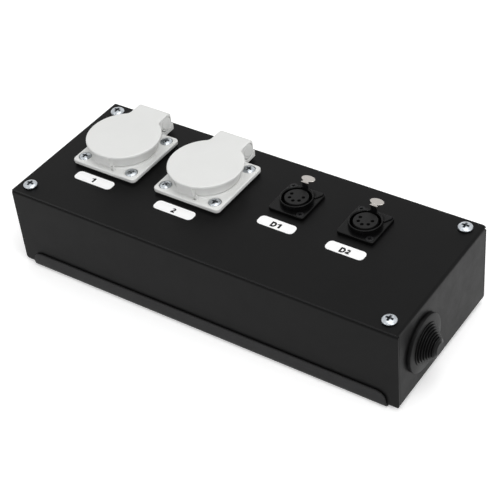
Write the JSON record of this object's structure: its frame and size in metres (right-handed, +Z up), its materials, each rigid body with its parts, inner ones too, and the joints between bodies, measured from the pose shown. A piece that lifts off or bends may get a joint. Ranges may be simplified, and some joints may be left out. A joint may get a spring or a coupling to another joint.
{
  "type": "power and dmx outlet box",
  "caption": "Low black sheet-metal box with lidded mains sockets and five-way signal connectors in its top, a lipped tray beneath and a stepped rubber grommet in one end.",
  "frame": {"origin": "centre of the tray's underside, on the surface that the box stands on", "axes": "+X along the box towards the end with the grommet, +Y from the labels towards the lid hinges, +Z up out of the top plate"},
  "size_m": [0.2976, 0.1122, 0.078],
  "materials": {
    "powder": "fine black powder coat, satin",
    "zinc": "bright zinc plate",
    "white_plastic": "white moulded plastic, satin",
    "black_seal": "black sheet rubber, matt",
    "spring_steel": "drawn wire and strip, satin",
    "contact_brass": "bare brass, satin",
    "black_nylon": "black moulded nylon, satin",
    "insert_black": "black moulded insulator, matt",
    "nickel": "nickel plate, satin",
    "black_screw": "blackened steel",
    "rubber": "black rubber, matt",
    "label_film": "white film, matt",
    "block_plastic": "pale moulded plastic"
  },
  "bodies": {
    "outlet_box": {"base_channel": "powder", "cable_grommet": "rubber", "connector_insert_1": "insert_black", "connector_insert_2": "insert_black", "connector_screw_back_1": "black_screw", "connector_screw_back_2": "black_screw", "connector_screw_front_1": "black_screw", "connector_screw_front_2": "black_screw", "connector_shell_1": "black_nylon", "connector_shell_2": "black_nylon", "contact_carrier_1": "contact_brass", "contact_carrier_2": "contact_brass", "cover_screw_back_left": "zinc", "cover_screw_back_right": "zinc", "cover_screw_front_left": "zinc", "cover_screw_front_right": "zinc", "earth_stud": "zinc", "flange_screw_back_left_1": "zinc", "flange_screw_back_left_2": "zinc", "flange_screw_back_right_1": "zinc", "flange_screw_back_right_2": "zinc", "flange_screw_front_left_1": "zinc", "flange_screw_front_left_2": "zinc", "flange_screw_front_right_1": "zinc", "flange_screw_front_right_2": "zinc", "label_1": "label_film", "label_2": "label_film", "label_d1": "label_film", "label_d2": "label_film", "lid_hinge_pin_1": "spring_steel", "lid_hinge_pin_2": "spring_steel", "lid_spring_1": "spring_steel", "lid_spring_2": "spring_steel", "mounting_tray": "powder", "rivet_nut_back_left": "zinc", "rivet_nut_back_right": "zinc", "rivet_nut_front_left": "zinc", "rivet_nut_front_right": "zinc", "socket_contact_left_1": "contact_brass", "socket_contact_left_2": "contact_brass", "socket_contact_right_1": "contact_brass", "socket_contact_right_2": "contact_brass", "socket_earth_clip_1": "spring_steel", "socket_earth_clip_2": "spring_steel", "socket_frame_1": "white_plastic", "socket_frame_2": "white_plastic", "socket_gasket_1": "black_seal", "socket_gasket_2": "black_seal", "socket_insert_1": "white_plastic", "socket_insert_2": "white_plastic", "tab_spring_1": "spring_steel", "tab_spring_2": "spring_steel", "terminal_block": "block_plastic", "top_cover": "powder", "tray_screw_left": "zinc", "tray_screw_right": "zinc"},
    "lid_1": {"socket_lid_1": "white_plastic"},
    "lid_2": {"socket_lid_2": "white_plastic"},
    "tab_1": {"push_tab_1": "nickel"},
    "tab_2": {"push_tab_2": "nickel"}
  },
  "joints": [
    {"name": "lid_1_hinge", "type": "hinge", "parent": "outlet_box", "child": "lid_1", "pos_m": [-0.0976, 0.0408, 0.0728], "axis": [-1, 0, 0], "range_deg": [0, 105], "stiffness_Nm_per_rad": 0.02, "springref_deg": -34.38},
    {"name": "lid_2_hinge", "type": "hinge", "parent": "outlet_box", "child": "lid_2", "pos_m": [-0.0317, 0.0408, 0.0728], "axis": [-1, 0, 0], "range_deg": [0, 105], "stiffness_Nm_per_rad": 0.02, "springref_deg": -34.38},
    {"name": "push_tab_1_slide", "type": "slide", "parent": "outlet_box", "child": "tab_1", "axis": [0, 0, -1], "range_m": [0, 0.0018], "stiffness_N_per_m": 250, "springref_m": -0.002, "deforming": ["tab_spring_1"]},
    {"name": "push_tab_2_slide", "type": "slide", "parent": "outlet_box", "child": "tab_2", "axis": [0, 0, -1], "range_m": [0, 0.0018], "stiffness_N_per_m": 250, "springref_m": -0.002, "deforming": ["tab_spring_2"]}
  ]
}
